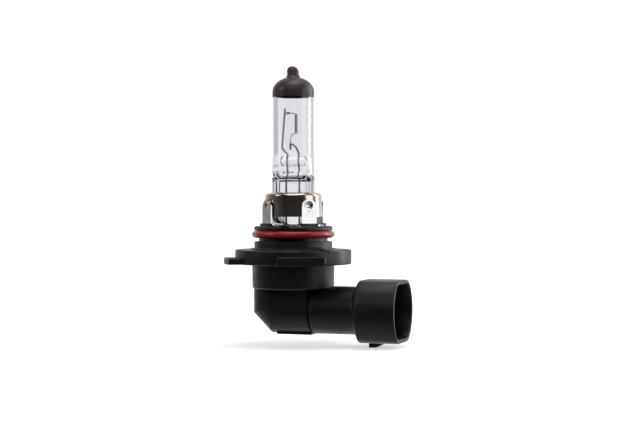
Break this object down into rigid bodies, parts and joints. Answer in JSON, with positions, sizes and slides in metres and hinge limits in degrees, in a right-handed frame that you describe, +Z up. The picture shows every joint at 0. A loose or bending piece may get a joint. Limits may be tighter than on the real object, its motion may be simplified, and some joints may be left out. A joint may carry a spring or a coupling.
{
  "type": "headlight bulb",
  "caption": "Halogen headlight capsule with a black tip in a steel collar on a black bayonet cap with a red seal, an elbow and a plug socket.",
  "frame": {"origin": "lamp axis at the bayonet flange's upper face, which is the lamp's reference plane", "axes": "+Z up the lamp axis to the glass tip, +X out of the plug socket"},
  "size_m": [0.052, 0.0382, 0.0796],
  "materials": {
    "clear_glass": "clear polished hard glass",
    "black_coating": "satin brown black anti-glare paint",
    "tungsten": "drawn tungsten wire",
    "molybdenum": "drawn molybdenum wire",
    "stainless": "pressed polished stainless steel",
    "black_nylon": "moulded glass filled nylon, fine grain",
    "red_silicone": "smooth silicone rubber",
    "tinned_brass": "tin plated brass strip",
    "glass_fibre_sleeve": "woven glass fibre sleeving",
    "potting": "cast resin"
  },
  "bodies": {
    "root": {"glass_envelope": "clear_glass", "black_top_coating": "black_coating", "filament": "tungsten", "upper_tail_sleeve": "molybdenum", "lower_tail_sleeve": "molybdenum", "long_lead": "molybdenum", "short_lead": "molybdenum", "glass_bridge": "clear_glass", "pinch_clip": "stainless", "collar_cup": "stainless", "mounting_ring": "stainless", "housing": "black_nylon", "elbow_cover": "black_nylon", "o_ring": "red_silicone", "terminal_block": "black_nylon", "terminal_positive": "tinned_brass", "terminal_negative": "tinned_brass", "lead_sleeve_left": "glass_fibre_sleeve", "lead_sleeve_right": "glass_fibre_sleeve", "sealing_compound": "potting"}
  },
  "joints": []
}
